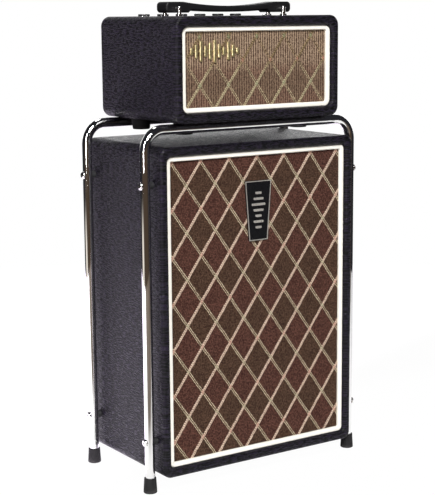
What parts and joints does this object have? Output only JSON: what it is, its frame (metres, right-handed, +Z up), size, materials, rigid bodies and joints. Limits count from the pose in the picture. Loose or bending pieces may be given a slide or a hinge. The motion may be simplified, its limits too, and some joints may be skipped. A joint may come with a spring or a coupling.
{
  "type": "guitar amplifier",
  "caption": "Compact guitar amplifier stack: a lift-off head with top controls rests on a chrome tube stand that carries a diamond-cloth speaker cabinet",
  "frame": {"origin": "On the floor under the middle of the stand and of the cabinet", "axes": "+Z up, the grilles face -Y, and +X is on the right when the grilles are looked at from the front"},
  "size_m": [0.3428, 0.19, 0.6226],
  "materials": {
    "leatherette": "grained black vinyl covering over board",
    "grille_cloth": "woven brown cloth with pale diamond lines",
    "beading": "off-white, semi-gloss",
    "tube_chrome": "polished",
    "screw_chrome": "polished",
    "zinc_screws": "zinc plated",
    "black_rubber": "matte",
    "black_nylon": "satin",
    "brass_insert": "turned",
    "board": "raw plywood and cleats",
    "black_panel": "fine black texture",
    "badge_black": "gloss black",
    "badge_metal": "satin",
    "jack_black": "satin",
    "speaker_steel": "satin black pressed steel",
    "speaker_paper": "pressed pulp",
    "speaker_cloth": "doped cloth",
    "gasket": "pressed board",
    "ferrite": "sintered ferrite",
    "coil": "wound on a former",
    "cable": "matte sheath",
    "control_chrome": "polished panel",
    "nickel": "nickel plated",
    "knob_black": "gloss black",
    "lamp": "red lens",
    "circuit": "lacquered laminate",
    "sink": "black anodised",
    "handle_black": "satin moulded"
  },
  "bodies": {
    "stand_and_cabinet": {"front_hoop": "tube_chrome", "rear_hoop": "tube_chrome", "stand_tips": "black_rubber", "hoop_spacers": "black_nylon", "hoop_screws": "screw_chrome", "hoop_inserts": "brass_insert", "cabinet_shell": "leatherette", "cabinet_baffle": "board", "cabinet_grille_cloth": "grille_cloth", "cabinet_piping": "beading", "cabinet_badge_plate": "badge_black", "cabinet_badge_emblem": "badge_metal", "cabinet_battens": "board", "cabinet_back_panel": "black_panel", "cabinet_back_screws": "zinc_screws", "cabinet_jack_plate": "black_panel", "cabinet_jack": "jack_black", "speaker_gasket": "gasket", "speaker_basket": "speaker_steel", "speaker_magnet": "ferrite", "speaker_front_plate": "speaker_steel", "speaker_back_plate": "speaker_steel", "speaker_terminals": "black_nylon", "speaker_bolts": "zinc_screws", "speaker_lead": "cable"},
    "speaker_diaphragm": {"speaker_cone": "speaker_paper", "speaker_surround": "speaker_cloth", "speaker_dust_cap": "speaker_paper", "speaker_voice_coil": "coil", "speaker_spider": "speaker_cloth"},
    "amplifier_head": {"head_shell": "leatherette", "head_baffle": "board", "head_grille_cloth": "grille_cloth", "head_piping": "beading", "head_badge": "badge_metal", "head_feet": "black_rubber", "head_foot_screws": "zinc_screws", "head_battens": "board", "head_rear_panel": "black_panel", "head_rear_screws": "zinc_screws", "speaker_out_jack": "jack_black", "phones_jack": "jack_black", "dc_inlet": "jack_black", "control_panel": "control_chrome", "control_panel_screws": "zinc_screws", "potentiometers": "nickel", "toggle_body": "nickel", "input_jack": "jack_black", "indicator_lamp": "lamp", "circuit_board": "circuit", "heat_sink": "sink", "handle_strap": "handle_black", "handle_posts": "screw_chrome"},
    "gain_control": {"gain_knob": "knob_black"},
    "treble_control": {"treble_knob": "knob_black"},
    "bass_control": {"bass_knob": "knob_black"},
    "tremolo_control": {"tremolo_knob": "knob_black"},
    "reverb_control": {"reverb_knob": "knob_black"},
    "volume_control": {"volume_knob": "knob_black"},
    "toggle": {"toggle_lever": "nickel"}
  },
  "joints": [
    {"name": "head_lift_off", "type": "slide", "parent": "stand_and_cabinet", "child": "amplifier_head", "axis": [0, 0, 1], "range_m": [0, 0.15]},
    {"name": "diaphragm_travel", "type": "slide", "parent": "stand_and_cabinet", "child": "speaker_diaphragm", "axis": [0, 1, 0], "range_m": [-0.003, 0.003], "stiffness_N_per_m": 2000},
    {"name": "gain_turn", "type": "hinge", "parent": "amplifier_head", "child": "gain_control", "pos_m": [-0.096, 0.033, 0.5916], "axis": [0, 0, 1], "range_deg": [-150, 150]},
    {"name": "treble_turn", "type": "hinge", "parent": "amplifier_head", "child": "treble_control", "pos_m": [-0.067, 0.033, 0.5916], "axis": [0, 0, 1], "range_deg": [-150, 150]},
    {"name": "bass_turn", "type": "hinge", "parent": "amplifier_head", "child": "bass_control", "pos_m": [-0.038, 0.033, 0.5916], "axis": [0, 0, 1], "range_deg": [-150, 150]},
    {"name": "tremolo_turn", "type": "hinge", "parent": "amplifier_head", "child": "tremolo_control", "pos_m": [-0.009, 0.033, 0.5916], "axis": [0, 0, 1], "range_deg": [-150, 150]},
    {"name": "reverb_turn", "type": "hinge", "parent": "amplifier_head", "child": "reverb_control", "pos_m": [0.02, 0.033, 0.5916], "axis": [0, 0, 1], "range_deg": [-150, 150]},
    {"name": "volume_turn", "type": "hinge", "parent": "amplifier_head", "child": "volume_control", "pos_m": [0.049, 0.033, 0.5916], "axis": [0, 0, 1], "range_deg": [-150, 150]},
    {"name": "toggle_throw", "type": "hinge", "parent": "amplifier_head", "child": "toggle", "pos_m": [0.098, 0.033, 0.5934], "axis": [1, 0, 0], "range_deg": [0, 24]}
  ]
}
